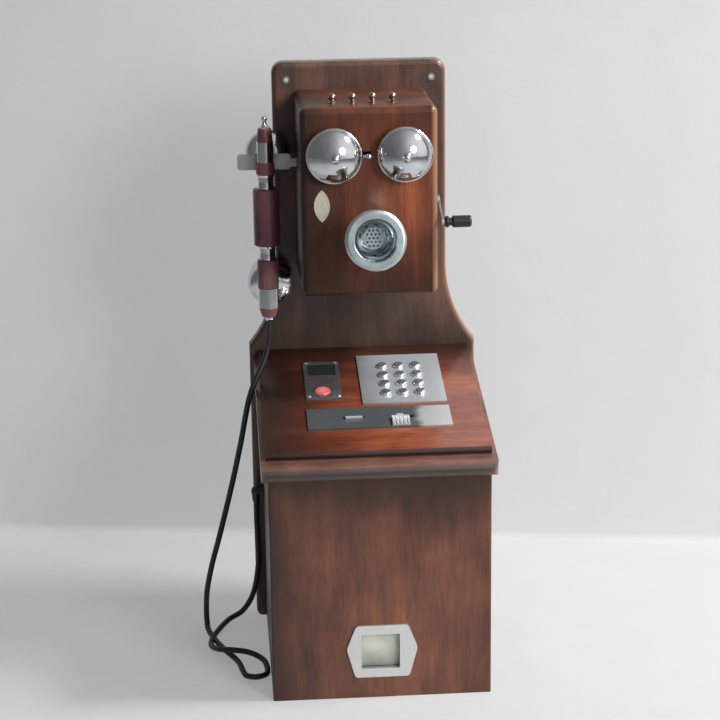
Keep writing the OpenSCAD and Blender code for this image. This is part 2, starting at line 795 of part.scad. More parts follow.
module handset_tips() {
  color("#d8dadc") {
    turned(hs_x, hs_y, z_finial, concat([[0, 0], [6.4, 0], [6.6, 1]],
      bow([6.6, 1], [2.6, 3.4], [2.2, finial_l - 6.4], 4, 6), [[2.2, finial_l - 6.4]],
      arc(0, finial_l - 3.5, 3.5, -50, 90, 12)));
    turned(hs_x, hs_y, z_tip, [[0, 0], [3.9, 0], [5, 1.5], [5.6, tip_l], [0, tip_l]]);
  }
}

// crank

module crank_bush() {
  color("#b08d4a") difference() {
    union() {
      rod_x(crank_y, crank_z, box_side - box_wall, box_side + bush_flange, bush_r);
      rod_x(crank_y, crank_z, box_side, box_side + bush_flange, bush_r + 4);
    }
    rod_x(crank_y, crank_z, box_side - box_wall - 1, box_side + bush_flange + 1, crank_shaft_r + run);
  }
}

module crank_frame() {
  translate([0, crank_y, crank_z]) rotate([crank_drop, 0, 0]) children();
}

module crank() {
  color("#c8c4b4") {
    rod_x(crank_y, crank_z, box_side - box_wall - 7, arm_x + arm_t, crank_shaft_r);
    rod_x(crank_y, crank_z, box_side - box_wall - 5.4, box_side - box_wall - 0.4, bush_r);
    crank_frame() {
      translate([arm_x, 0, 0]) rotate([0, 90, 0]) cylinder(r = 7, h = arm_t);
      translate([arm_x, -crank_l, 0]) rotate([0, 90, 0]) cylinder(r = 5, h = arm_t);
      translate([arm_x, -crank_l, -4]) cube([arm_t, crank_l, 8]);
      translate([arm_x, -crank_l, 0]) rotate([0, 90, 0]) cylinder(r = grip_pin_r,
        h = arm_t + crank_grip_l - 3);
    }
  }
}

module crank_grip() {
  l = crank_grip_l;
  r = crank_grip_r;
  bore = grip_pin_r + run;
  color("#26282c") crank_frame() translate([arm_x + arm_t + 0.4, -crank_l, 0]) rotate([0, 90, 0])
    rotate_extrude()
    polygon(concat([[bore, 0], [4.6, 0]], arc(r - 3.2, 3.2, 3, -80, 80, 8), [[r - 2.4, 6.6], [r - 2.6,
      8], [r - 1.6, 9.2]],
      arc(r - 1.5, 10.8, 1.5, -70, 0, 5), [[r, l - 2]], arc(r - 2, l - 2, 2, 10, 90, 5), [[0, l], [0,
        l - 2.5], [bore, l - 2.5]]));
}

// keys

module key_plate() {
  color("#b9bcbe") on_desk() difference() {
    slab(key_mid_x, key_plate_w, key_plate_u, key_plate_l, 0, plate_t);
    for (i = [0:11]) desk_pin(key_mid_x + (i % 3 - 1) * key_pitch_x, key_first_u + floor(i / 3)
      * key_pitch_u, key_r + gap, -1, plate_t + 1);
  }
}

module key(i) {
  flange = key_r + 1.4;
  color("#d2d4d6") on_desk() translate([key_mid_x + (i % 3 - 1) * key_pitch_x,
    -key_first_u - floor(i / 3) * key_pitch_u, 0])
    rotate_extrude() polygon(concat([[0, -4.1], [3, -4.1], [3, -1.8], [flange, -1.8], [flange, -gap],
      [key_r, -gap],
      [key_r, plate_t + 1.2]], bow([key_r, plate_t + 1.2], [key_r - 0.6, plate_t + 3.6], [0,
        plate_t + 3.8], 2.3, 6),
      [[0, plate_t + 3.8]]));
}

module key_board() {
  w = 2 * key_pitch_x + 2 * key_r + 6;
  color("#2f5a3a") on_desk() slab(key_mid_x, w, key_first_u - key_r - 3,
    3 * key_pitch_u + 2 * key_r + 6, -lid_t, -lid_t + 1.6);
}

// display

module display_plate() {
  color("#55585c") on_desk() difference() {
    slab(disp_mid_x, disp_w, disp_u, disp_l, 0, plate_t);
    slab(disp_mid_x, glass_w, glass_u, glass_l, -1, plate_t + 1);
    desk_pin(red_x, red_u, red_r + gap, -1, plate_t + 1);
    screw_spots() translate([0, 0, -1]) cylinder(r = 1.2, h = plate_t + 2);
  }
}

module display_window() {
  color("#1d2a26") on_desk() slab(disp_mid_x, glass_w, glass_u, glass_l, 0, plate_t - 0.5);
}

module red_button() {
  flange = red_r + 1.3;
  color("#e03030") on_desk() translate([red_x, -red_u, 0]) rotate_extrude()
    polygon(concat([[0, -3.6], [4, -3.6], [4, -2], [flange, -2], [flange, -gap], [red_r, -gap], [red_r,
      plate_t + 0.9]],
      bow([red_r, plate_t + 0.9], [red_r - 0.6, plate_t + 2.2], [0, plate_t + 2.4], 1.3, 5), [[0,
        plate_t + 2.4]]));
}

module plate_screws() {
  color("#c0c0c0") on_desk() screw_spots() rotate_extrude() polygon(concat([[0, -lid_t + 1], [1.2,
    -lid_t + 1], [1.2, plate_t], [2.3, plate_t]],
    [[2.3, plate_t + 0.5]], arc(0, plate_t - 1.9, 3.2, 49, 90, 6)));
}

// coin parts

module coin_plate() {
  slot_end = slide_x + slide_travel + slide_stem_w / 2 + 2;
  color("#b9bcbe") on_desk() difference() {
    union() {
      slab(coin_plate_x, coin_plate_w, coin_plate_u, coin_plate_l, 0, plate_t);
      slab(coin_x, coin_bar_l, coin_u + coin_slot_w / 2, coin_bar_t, 0, plate_t + 2.6);
    }
    slab(coin_x, coin_slot_l, coin_u - coin_slot_w / 2, coin_slot_w, -1, plate_t + 5);
    slab(slide_x + slide_travel / 2 + 1, slide_stem_w + slide_travel + 2 * gap + 2,
      slide_slot_u - slide_slot_w / 2,
      slide_slot_w, -1, plate_t + 1);
    desk_pin(slot_end, slide_slot_u, slide_slot_w / 2, -1, plate_t + 1);
  }
}

module return_lever() {
  w = 21;
  l = 17;
  ribs = 5;
  head = slide_u - l / 2;
  tongue = slide_slot_u - 4;
  color("#d0d3d5") on_desk() {
    slab(slide_x, slide_stem_w, tongue, head - tongue + 1, plate_t + gap, plate_t + 1.5);
    slab(slide_x, w, head, l, plate_t + gap, plate_t + 1.8);
    for (i = [0:ribs - 1]) slab(slide_x - w / 2 + 1.5 + i * (w - 3) / (ribs - 1), 2, head, l,
      plate_t + 1.5, plate_t + 3.6);
    slab(slide_x, w, head, 3.4, plate_t + 1.5, plate_t + 4.4);
    slab(slide_x, slide_stem_w, slide_slot_u - 2.7, 5.4, -1.5, plate_t + 1);
    slab(slide_x, slide_stem_w + 4, slide_slot_u - 5.5, 11, -2.2, -gap);
  }
}

module coin_chute() {
  wall = 1.5;
  color("#a8abad") on_desk() difference() {
    slab(coin_x, chute_w, coin_u - chute_t / 2, chute_t, -chute_l, 0);
    slab(coin_x, chute_w - 2 * wall, coin_u - chute_t / 2 + wall, chute_t - 2 * wall, -chute_l - 1, 1);
  }
}

module coin_box() {
  wall = pocket_t;
  x = coin_box_w / 2;
  y0 = cab_front + pocket_d + coin_box_gap;
  y1 = y0 + coin_box_d;
  color("#8f9296") difference() {
    block(-x, x, y0, y1, floor_t, floor_t + coin_box_h);
    block(-x + wall, x - wall, y0 + wall, y1 - wall, floor_t + wall, floor_t + coin_box_h + 1);
  }
}

module return_plate() {
  half = win_z + win_h / 2 + 3.8;
  color("#d9dbdc") upright(cab_front - return_plate_t, cab_front) difference() {
    polygon(soft_corners([[-30.5, 92.5], [-42, half], [-32, 27], [32, 27], [42, half], [30.5, 92.5]], 4,
      5));
    translate([win_x - win_w / 2, win_z]) square([win_w, win_h]);
  }
}

module return_pocket() {
  z = win_z - gap;
  color("#9a9da0") difference() {
    block(win_x - pocket_w / 2 - pocket_t, win_x + pocket_w / 2 + pocket_t, cab_front, cab_front + pocket_d,
      z - pocket_t, z + pocket_h + pocket_t);
    block(win_x - pocket_w / 2, win_x + pocket_w / 2, cab_front - 1, cab_front + pocket_d - pocket_t, z,
      z + pocket_h);
    block(win_x - pocket_w / 2, win_x + pocket_w / 2, cab_front + 25, cab_front + pocket_d - pocket_t,
      z + pocket_h - 1,
      z + pocket_h + pocket_t + 1);
    rod_x(flap_y, flap_z, win_x - pocket_w, win_x + pocket_w, flap_pin_r + run);
  }
}

module return_flap() {
  w = win_w - 0.2;
  color("#c6c9cb") {
    block(win_x - w / 2, win_x + w / 2, flap_y - flap_t / 2, flap_y + flap_t / 2, win_z + 0.4, flap_z);
    rod_x(flap_y, flap_z, win_x - w / 2, win_x + w / 2, 2.2);
    rod_x(flap_y, flap_z, win_x - pocket_w / 2 - pocket_t, win_x + pocket_w / 2 + pocket_t, flap_pin_r);
  }
}

// cord

module cord_gland() {
  x = -cab_w / 2;
  color("#1c1c1e") {
    rod_x(gland_y, gland_z, gland_x, x + panel_t, gland_r);
    rod_x(gland_y, gland_z, x - 2, x, gland_r + 3);
    translate([gland_x, gland_y, gland_z]) sphere(r = gland_r);
    turned(gland_x, gland_y, gland_z - gland_drop, [[0, 0], [cord_r + 1, 0], [gland_r - 0.6,
      gland_drop - 4],
      [gland_r, gland_drop - 3], [gland_r, gland_drop], [0, gland_drop]]);
  }
}

module cord() {
  q = along(cord_path, cord_rings);
  v = sides(q);
  n = len(q);
  m = cord_sides;
  points = [for (i = [0:n - 1]) let (t = heading(q, i), b = cross(t, v[i])) for (j = [0:m - 1])
    let (a = 360 * j / m) q[i] + cord_r * (cos(a) * v[i] + sin(a) * b)];
  walls = [for (i = [0:n - 2]) for (j = [0:m - 1]) let (k = (j + 1) % m)
    each [[i * m + j, i * m + k, (i + 1) * m + k], [i * m + j, (i + 1) * m + k, (i + 1) * m + j]]];
  caps = [[for (j = [m - 1:-1:0]) j], [for (j = [0:m - 1]) (n - 1) * m + j]];
  color("#1a1a1c") polyhedron(points = points, faces = [for (f = concat(walls, caps)) [f[2], f[1], f[0],
    each [for (i = [len(f) - 1:-1:3]) f[i]]]], convexity = 8);
}

backboard();
side_panels();
front_panel();
floor_panel();
desk_board();
desk_lid();
box_frame();
box_front();
eyelets();
binding_posts();
badge();
gongs();
gong_posts();
ringer_frame();
ringer_coils();
clapper();
mouth_horn();
mouth_capsule();
hook_lever();
hook_bracket();
hook_switch();
handset_grip();
handset_rings();
handset_collars();
ear_barrel();
mouth_barrel();
ear_cup();
mouth_cup();
handset_tips();
cup_capsules();
crank();
crank_grip();
crank_bush();
key_plate();
key(0);  // key_1
key(1);  // key_2
key(2);  // key_3
key(3);  // key_4
key(4);  // key_5
key(5);  // key_6
key(6);  // key_7
key(7);  // key_8
key(8);  // key_9
key(9);  // key_10
key(10);  // key_11
key(11);  // key_12
key_board();
display_plate();
display_window();
red_button();
plate_screws();
coin_plate();
return_lever();
return_plate();
return_flap();
return_pocket();
coin_chute();
coin_box();
cord_gland();
cord();
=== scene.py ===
import json
import math

import bmesh
import bpy
from mathutils import Matrix, Vector


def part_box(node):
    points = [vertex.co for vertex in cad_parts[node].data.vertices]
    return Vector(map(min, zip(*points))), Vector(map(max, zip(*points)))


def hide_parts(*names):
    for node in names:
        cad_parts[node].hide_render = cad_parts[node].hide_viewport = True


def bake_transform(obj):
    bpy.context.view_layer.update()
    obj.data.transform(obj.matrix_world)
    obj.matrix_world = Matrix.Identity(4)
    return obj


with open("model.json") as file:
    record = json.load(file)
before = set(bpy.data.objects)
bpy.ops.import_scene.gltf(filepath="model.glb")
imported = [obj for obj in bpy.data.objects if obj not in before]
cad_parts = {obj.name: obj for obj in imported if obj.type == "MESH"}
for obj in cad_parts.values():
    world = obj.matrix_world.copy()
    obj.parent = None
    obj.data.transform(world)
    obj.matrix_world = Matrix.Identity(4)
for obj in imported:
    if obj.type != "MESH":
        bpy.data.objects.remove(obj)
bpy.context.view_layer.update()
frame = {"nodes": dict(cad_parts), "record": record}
nodes = frame["nodes"]
scene = bpy.context.scene
print("frame loaded:", len(nodes), "nodes")


# camera, at the photograph's place

cameraView = {
    "place": (-0.1788, -2.3675, 1.0649),
    "turn": (73.811, 0.739, -4.251),  # degrees, in XYZ order
    "lens": 102.92,
    "sensor": 36.0,
    "reach": 20.0,
}


def placeCamera(view):
    data = bpy.data.cameras.new("photoCamera")
    data.lens = view["lens"]
    data.sensor_width = view["sensor"]
    data.clip_end = view["reach"]
    camera = bpy.data.objects.new("photoCamera", data)
    camera.location = view["place"]
    camera.rotation_euler = [math.radians(a) for a in view["turn"]]
    scene.collection.objects.link(camera)
    scene.camera = camera


placeCamera(cameraView)
print("camera placed")


# cord, on the same route as its solid

cordLead = {
    "diameter": 0.007,
    "steps": 8,  # samples between two points of the route
    "sides": 4,  # curve bevel resolution
    "route": [
        (-0.118, 0.052, 0.41495), (-0.118, 0.052, 0.40205), (-0.1195, 0.052, 0.387), (-0.123, 0.05, 0.372),
        (-0.129, 0.046, 0.357), (-0.138, 0.042, 0.34), (-0.145, 0.04, 0.321), (-0.15, 0.042, 0.299),
        (-0.157, 0.047, 0.262), (-0.167, 0.053, 0.216), (-0.177, 0.056, 0.175), (-0.188, 0.06, 0.132),
        (-0.198, 0.066, 0.094), (-0.205, 0.074, 0.058), (-0.207, 0.081, 0.032), (-0.207, 0.08, 0.013),
        (-0.204, 0.062, 0.0042), (-0.189, 0.014, 0.0042), (-0.17, -0.03, 0.0042), (-0.163, -0.0645, 0.0042),
        (-0.1588, -0.0748, 0.0042), (-0.1485, -0.079, 0.0042), (-0.1382, -0.0748, 0.0042),
        (-0.134, -0.0645, 0.0042), (-0.136, -0.039, 0.0048), (-0.144, -0.025, 0.0068), (-0.158, -0.018, 0.0103),
        (-0.176, -0.015, 0.0123), (-0.191, -0.007, 0.0103), (-0.2, 0.01, 0.0063), (-0.202, 0.029, 0.0046),
        (-0.196, 0.057, 0.0042), (-0.18, 0.093, 0.006), (-0.16, 0.105, 0.014), (-0.146, 0.106, 0.038),
        (-0.139, 0.103, 0.078), (-0.139, 0.1, 0.116), (-0.1395, 0.097, 0.14), (-0.1395, 0.097, 0.153),
        (-0.1395, 0.097, 0.166),
    ],
    "bendFrom": (-0.17, 0.053, 0.205),
    "bendTo": (-0.118, 0.052, 0.412),
}


def curvePoint(a, b, c, d, k):  # from b at 0 to c at 1
    point = 2 * b + (c - a) * k
    point += (2 * a - 5 * b + 4 * c - d) * k ** 2
    point += (3 * b - a - 3 * c + d) * k ** 3
    return 0.5 * point


def smoothRoute(points, steps):
    places = [Vector(p) for p in points]
    last = len(places) - 1
    path = []
    for i in range(last):
        near = (places[max(i - 1, 0)], places[i], places[i + 1], places[min(i + 2, last)])
        path.extend(curvePoint(*near, j / steps) for j in range(steps))
    path.append(places[last])
    return path


def layCord(lead):
    path = smoothRoute(lead["route"], lead["steps"])
    curve = bpy.data.curves.new("handsetCordLine", "CURVE")
    curve.dimensions = "3D"
    curve.bevel_depth = lead["diameter"] / 2
    curve.bevel_resolution = lead["sides"]
    curve.use_fill_caps = True
    spline = curve.splines.new("POLY")
    spline.points.add(len(path) - 1)
    for point, place in zip(spline.points, path):
        point.co = (*place, 1.0)
    line = bpy.data.objects.new("handsetCordLine", curve)
    scene.collection.objects.link(line)
    mesh = bpy.data.meshes.new_from_object(line.evaluated_get(bpy.context.evaluated_depsgraph_get()))
    bpy.data.objects.remove(line)
    mesh.name = "handsetCord"
    mesh.shade_smooth()
    cord = bpy.data.objects.new("handsetCord", mesh)
    scene.collection.objects.link(cord)
    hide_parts("cord")
    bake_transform(cord)
    return cord


handsetCord = layCord(cordLead)


# node helpers; a value is a number, a colour or another node's output

def linear(r, g, b):
    return tuple((c / 255 / 12.92) if c <= 10 else ((c / 255 + 0.055) / 1.055) ** 2.4 for c in (r, g, b)) + (1.0,)


def grey(value):
    return (value, value, value, 1.0)


def addNode(tree, kind, **settings):
    node = tree.nodes.new(kind)
    for name, value in settings.items():
        setattr(node, name, value)
    return node


def setSockets(tree, node, values):
    for name, value in values.items():
        if isinstance(value, bpy.types.NodeSocket):
            tree.links.new(value, node.inputs[name])
        else:
            node.inputs[name].default_value = value


def addMath(tree, operation, *values):
    node = addNode(tree, "ShaderNodeMath", operation=operation)
    setSockets(tree, node, dict(enumerate(values)))
    return node.outputs["Value"]


def addVector(tree, operation, *values, out="Vector"):
    node = addNode(tree, "ShaderNodeVectorMath", operation=operation)
    setSockets(tree, node, dict(enumerate(values)))
    return node.outputs[out]


def splitAxes(tree, place):
    node = addNode(tree, "ShaderNodeSeparateXYZ")
    setSockets(tree, node, {"Vector": place})
    return node.outputs


def mapSpan(tree, value, span, to=(0.0, 1.0), kind="LINEAR"):
    node = addNode(tree, "ShaderNodeMapRange", interpolation_type=kind)
    setSockets(tree, node, {"Value": value, "From Min": span[0], "From Max": span[1],
                            "To Min": to[0], "To Max": to[1]})
    return node.outputs["Result"]


def mixColour(tree, factor, a, b):
    node = addNode(tree, "ShaderNodeMix", data_type="RGBA")
    setSockets(tree, node, {"Factor": factor, "A": a, "B": b})
    return node.outputs["Result"]


def mixShader(tree, factor, a, b):
    node = addNode(tree, "ShaderNodeMixShader")
    setSockets(tree, node, {0: factor, 1: a, 2: b})
    return node.outputs["Shader"]


def addNoise(tree, place, look):
    node = addNode(tree, "ShaderNodeTexNoise")
    setSockets(tree, node, {"Vector": place, **look})
    return node.outputs["Fac"]


def makeRamp(tree, factor, stops):
    node = addNode(tree, "ShaderNodeValToRGB")
    elements = node.color_ramp.elements
    while len(elements) < len(stops):
        elements.new(0.5)
    for element, (place, colour) in zip(elements, stops):
        element.position = place
        element.color = colour
    setSockets(tree, node, {"Fac": factor})
    return node.outputs["Color"]


def objectPlace(tree, scale=None, shift=(0.0, 0.0, 0.0)):
    place = addNode(tree, "ShaderNodeTexCoord").outputs["Object"]
    if scale is None:
        return place
    node = addNode(tree, "ShaderNodeMapping")
    setSockets(tree, node, {"Vector": place, "Scale": scale, "Location": shift})
    return node.outputs["Vector"]


def addBump(tree, shader, height, strength, distance):
    node = addNode(tree, "ShaderNodeBump")
    setSockets(tree, node, {"Height": height, "Strength": strength, "Distance": distance})
    setSockets(tree, shader, {"Normal": node.outputs["Normal"]})


def startFinish(name, sockets):
    finish = bpy.data.materials.new(name)
    finish.use_nodes = True
    tree = finish.node_tree
    shader = tree.nodes["Principled BSDF"]
    setSockets(tree, shader, sockets)
    return finish, tree, shader


def newGroup(name, inputs, outputs):
    group = bpy.data.node_groups.new(name, "ShaderNodeTree")
    for way, sockets in (("INPUT", inputs), ("OUTPUT", outputs)):
        for kind, labels in sockets.items():
            for label in labels:
                group.interface.new_socket(label, in_out=way, socket_type="NodeSocket" + kind)
    given = addNode(group, "NodeGroupInput")
    return group, given.outputs, addNode(group, "NodeGroupOutput")


def placeGroup(tree, group, values):
    node = addNode(tree, "ShaderNodeGroup", node_tree=group)
    setSockets(tree, node, values)
    return node.outputs


# shared effects

grainLook = {
    "cloud": {"Scale": 15.0, "Detail": 4.0, "Roughness": 0.5, "Distortion": 0.3},  # soft mottle of the stain
    "band": {"Scale": 34.0, "Detail": 5.0, "Roughness": 0.55, "Distortion": 0.5},  # broad bands along the grain
    "fibre": {"Scale": 310.0, "Detail": 3.0, "Roughness": 0.6, "Distortion": 0.1},  # fine fibre lines
    "pore": {"Scale": 700.0, "Detail": 1.0},  # short open pores
    "share": {"cloud": 0.34, "band": 0.44, "fibre": 0.22},
    "toneSpan": (0.35, 0.65),
    "darkHalf": (0.0, 0.5),
    "lightHalf": (0.5, 1.0),
    "poreSpan": (0.6, 0.72),
    "poreColour": (30, 15, 12),
    # colour of the painted shade
    "shadeColour": (36, 24, 20),
    "roughFrom": (0.3, 0.7),
    "roughTo": (0.3, 0.46),
}


def makeWoodGrain(look):
    group, given, put = newGroup(
        "woodGrain",
        {"Vector": ["Place", "Along"], "Color": ["Dark", "Middle", "Light"], "Float": ["Stain", "Pores"]},
        {"Color": ["Color"], "Float": ["Roughness", "Height"]})
    share = look["share"]
    cloud = addNoise(group, given["Place"], look["cloud"])
    band = addNoise(group, given["Along"], look["band"])
    fibre = addNoise(group, given["Along"], look["fibre"])
    tone = addMath(group, "MULTIPLY", cloud, share["cloud"])
    tone = addMath(group, "MULTIPLY_ADD", band, share["band"], tone)
    tone = addMath(group, "MULTIPLY_ADD", fibre, share["fibre"], tone)
    tone = mapSpan(group, tone, look["toneSpan"])
    colour = mixColour(group, mapSpan(group, tone, look["darkHalf"]), given["Dark"], given["Middle"])
    colour = mixColour(group, mapSpan(group, tone, look["lightHalf"]), colour, given["Light"])
    pore = mapSpan(group, addNoise(group, given["Along"], look["pore"]), look["poreSpan"])
    pore = addMath(group, "MULTIPLY", pore, given["Pores"])
    colour = mixColour(group, pore, colour, linear(*look["poreColour"]))
    # painted shade mixed in where the shade mask says
    colour = mixColour(group, given["Stain"], colour, linear(*look["shadeColour"]))
    rough = mapSpan(group, cloud, look["roughFrom"], look["roughTo"])
    height = addMath(group, "SUBTRACT", fibre, pore)
    setSockets(group, put, {"Color": colour, "Roughness": rough, "Height": height})
    return group


shadeLook = {
    "corner": 0.02,  # rounding of the clear middle's corners
    "brush": {"Scale": 23.0, "Detail": 3.0},  # uneven border of the painted shade
    "uneven": 0.03,
}


def makeEdgeStain(look):  # a mask of painted shade that grows towards the edges of a box
    group, given, put = newGroup(
        "edgeStain",
        {"Vector": ["Place", "Middle", "Half"], "Float": ["Soft", "Amount"]},
        {"Float": ["Mask"]})
    away = addVector(group, "SUBTRACT", given["Place"], given["Middle"])
    left = addVector(group, "SUBTRACT", given["Half"], addVector(group, "ABSOLUTE", away))
    axes = splitAxes(group, left)
    near = addMath(group, "SMOOTH_MIN", axes["X"], axes["Y"], look["corner"])
    near = addMath(group, "SMOOTH_MIN", near, axes["Z"], look["corner"])
    brush = addNoise(group, given["Place"], look["brush"])
    near = addMath(group, "MULTIPLY_ADD", brush, look["uneven"], near)
    fade = mapSpan(group, near, (0.0, given["Soft"]), (1.0, 0.0), "SMOOTHSTEP")
    setSockets(group, put, {"Mask": addMath(group, "MULTIPLY", fade, given["Amount"])})
    return group


smudgeLook = {
    "cloud": {"Detail": 5.0, "Roughness": 0.6, "Distortion": 0.5},
    "roughSpan": (0.35, 0.7),
    "maskSpan": (0.45, 0.75),
}


def makeHandSmudge(look):
    group, given, put = newGroup(
        "handSmudge",
        {"Vector": ["Vector"], "Float": ["Scale", "Low", "High"]},
        {"Float": ["Roughness", "Mask"]})
    cloud = addNoise(group, given["Vector"], {"Scale": given["Scale"], **look["cloud"]})
    rough = mapSpan(group, cloud, look["roughSpan"], (given["Low"], given["High"]))
    setSockets(group, put, {"Roughness": rough, "Mask": mapSpan(group, cloud, look["maskSpan"])})
    return group


woodGrain = makeWoodGrain(grainLook)
edgeStain = makeEdgeStain(shadeLook)
handSmudge = makeHandSmudge(smudgeLook)


def addSmudge(tree, shader, look):
    smudge = placeGroup(tree, handSmudge, {"Vector": objectPlace(tree), "Scale": look["scale"],
                                           "Low": look["rough"][0], "High": look["rough"][1]})
    setSockets(tree, shader, {"Roughness": smudge["Roughness"]})
    return smudge["Mask"]


# woods

varnish = {"gloss": 0.4, "rough": 0.18, "ior": 1.6, "bump": (0.1, 0.0005)}

woodFinishes = {
    "board_wood": {
        "dark": (50, 35, 29), "middle": (82, 58, 48), "light": (116, 79, 61),
        "along": (1.0, 1.0, 0.1), "pores": 0.35, "coat": 0.4,
        # painted shade: the board darker towards the bottom and the sides
        "paintedShade": {"Middle": (0.0, 0.13, 0.6), "Half": (0.142, 1.0, 0.21), "Soft": 0.11, "Amount": 0.5},
        # painted highlight on the board's right-hand edge, lit from the right
        "edge": {"spans": [("Y", 0.1203, 0.1235), ("Y", 0.131, 0.127), ("X", 0.085, 0.1)],
                 "colour": (150, 104, 76)},
    },
    "case_wood": {
        "dark": (68, 38, 28), "middle": (104, 61, 43), "light": (138, 82, 54),
        "along": (1.0, 1.0, 0.12), "pores": 0.3, "coat": 0.2,
        # painted shadow under the desk's overhang, and painted shade towards the sides, most on the left
        "paintedShade": {"Middle": (0.02, 0.0, 0.08), "Half": (0.15, 1.0, 0.19), "Soft": 0.11, "Amount": 0.9},
    },
    # a darker copy of the cabinet wood: painted shade for the side panels, darker still towards their borders
    "shaded_side_wood": {
        "dark": (30, 18, 16), "middle": (48, 29, 25), "light": (66, 41, 34),
        "along": (1.0, 1.0, 0.14), "pores": 0.3, "coat": 0.0, "gloss": 0.12,
        "paintedShade": {"Middle": (0.0, 0.0, 0.15), "Half": (1.0, 0.13, 0.16), "Soft": 0.05, "Amount": 0.5},
    },
    "desk_wood": {
        "dark": (84, 40, 27), "middle": (126, 64, 43), "light": (166, 92, 56),
        "along": (0.14, 1.0, 1.0), "pores": 0.3, "coat": 1.0, "gloss": 0.25,
        # painted shadow of the ringer box, darker towards the lid's back and left
        "paintedShade": {"Middle": (0.08, -0.05, 0.33), "Half": (0.2, 0.165, 1.0), "Soft": 0.14, "Amount": 0.95},
        # painted shade on the lid's front edge
        "edge": {"spans": [("Y", -0.1235, -0.1262)], "colour": (46, 27, 25)},
    },
    # a darker, greyer copy of the desk wood: painted shade on the desk board, with painted shade on its nose
    "shaded_ledge_wood": {
        "dark": (72, 48, 41), "middle": (104, 70, 60), "light": (136, 92, 78),
        "along": (0.14, 1.0, 1.0), "pores": 0.3, "coat": 0.5,
        "edge": {"spans": [("Y", -0.1435, -0.149)], "colour": (42, 37, 36)},
    },
    "box_wood": {
        "dark": (82, 42, 28), "middle": (126, 66, 41), "light": (172, 94, 54),
        "along": (1.0, 1.0, 0.1), "pores": 0.3, "coat": 0.1, "gloss": 0.3,
        # painted shade: the box front darker to the left, top and bottom, not to the right
        "paintedShade": {"Middle": (0.085, 0.04, 0.59), "Half": (0.168, 1.0, 0.15), "Soft": 0.18, "Amount": 0.95},
        # painted highlight along the box front's right edge
        "edge": {"spans": [("X", 0.0725, 0.0765), ("Y", -0.0155, -0.0205)], "colour": (134, 94, 67)},
    },
    "turned_wood": {
        "dark": (66, 36, 40), "middle": (106, 63, 67), "light": (140, 88, 91),
        "along": (1.0, 1.0, 0.16), "pores": 0.2, "coat": 0.3,
    },
}


def makeWood(name, look):
    finish, tree, shader = startFinish(name, {
        "Coat Weight": look["coat"], "Coat Roughness": varnish["rough"], "Coat IOR": varnish["ior"],
        "Specular IOR Level": look.get("gloss", varnish["gloss"])})
    place = objectPlace(tree)
    grain = {"Place": place, "Along": objectPlace(tree, look["along"]), "Pores": look["pores"],
             "Dark": linear(*look["dark"]), "Middle": linear(*look["middle"]), "Light": linear(*look["light"])}
    # painted shade towards the borders of a piece, as its finish gives
    if "paintedShade" in look:
        grain["Stain"] = placeGroup(tree, edgeStain, {"Place": place, **look["paintedShade"]})["Mask"]
        if look["coat"]:  # the varnish is dull under the painted shade
            coat = addMath(tree, "MULTIPLY_ADD", grain["Stain"], -look["coat"], look["coat"])
            setSockets(tree, shader, {"Coat Weight": coat})
    grain = placeGroup(tree, woodGrain, grain)
    colour = grain["Color"]
    if "edge" in look:  # painted light along an edge: a pale colour is a painted highlight, a dark one painted shade
        axes = splitAxes(tree, place)
        amount = None
        for axis, start, end in look["edge"]["spans"]:
            span = mapSpan(tree, axes[axis], (start, end))
            amount = addMath(tree, "MULTIPLY", amount, span) if amount else span
        colour = mixColour(tree, amount, colour, linear(*look["edge"]["colour"]))
    setSockets(tree, shader, {"Base Color": colour, "Roughness": grain["Roughness"]})
    addBump(tree, shader, grain["Height"], *varnish["bump"])
    return finish


finishes = {name: makeWood(name, look) for name, look in woodFinishes.items()}


# metals, plastics and glass that hands have marked; mark is the tone of a smudge

markedFinishes = {
    "chrome": {"colour": (212, 214, 216), "rough": (0.05, 0.13), "scale": 40.0, "metal": 1.0, "mark": 0.88},
    "old_brass": {"colour": (160, 150, 138), "rough": (0.16, 0.32), "scale": 160.0, "metal": 1.0, "mark": 0.88},
    "badge_metal": {"colour": (226, 222, 204), "rough": (0.34, 0.52), "scale": 190.0, "metal": 1.0, "mark": 0.88},
    "hook_steel": {"colour": (176, 177, 176), "rough": (0.3, 0.45), "scale": 60.0, "metal": 1.0, "mark": 0.88},
    "inner_steel": {"colour": (150, 152, 154), "rough": (0.4, 0.6), "scale": 60.0, "metal": 1.0, "mark": 0.88},
    "return_metal": {"colour": (222, 223, 221), "rough": (0.46, 0.52), "scale": 90.0, "metal": 1.0, "mark": 0.96},
    "key_metal": {"colour": (206, 211, 216), "rough": (0.18, 0.28), "scale": 140.0, "metal": 0.9, "mark": 1.25,
                  "bump": (0.02, 0.0004)},
    "dark_plate": {"colour": (108, 107, 108), "rough": (0.3, 0.5), "scale": 220.0, "metal": 0.4, "mark": 1.25,
                   "bump": (0.05, 0.0004)},
    "black_plastic": {"colour": (26, 27, 30), "rough": (0.25, 0.42), "scale": 120.0, "metal": 0.0, "mark": 1.25,
                      "bump": (0.04, 0.0004)},
    "coil_wire": {"colour": (120, 62, 34), "rough": (0.4, 0.6), "scale": 300.0, "metal": 0.0, "mark": 1.25,
                  "bump": (0.3, 0.0004)},
    "green_board": {"colour": (38, 92, 56), "rough": (0.4, 0.6), "scale": 200.0, "metal": 0.0, "mark": 1.25,
                    "bump": (0.1, 0.0004)},
    "black_cord": {"colour": (24, 24, 26), "rough": (0.45, 0.62), "scale": 260.0, "metal": 0.0, "mark": 1.25,
                   "bump": (0.15, 0.0004)},
    "dark_glass": {"colour": (50, 58, 53), "rough": (0.08, 0.2), "scale": 140.0, "metal": 0.0,
                   "marked": (62, 71, 65), "coat": {"Coat Weight": 0.6, "Coat Roughness": 0.05,
                                                    "Specular IOR Level": 0.6}},
}


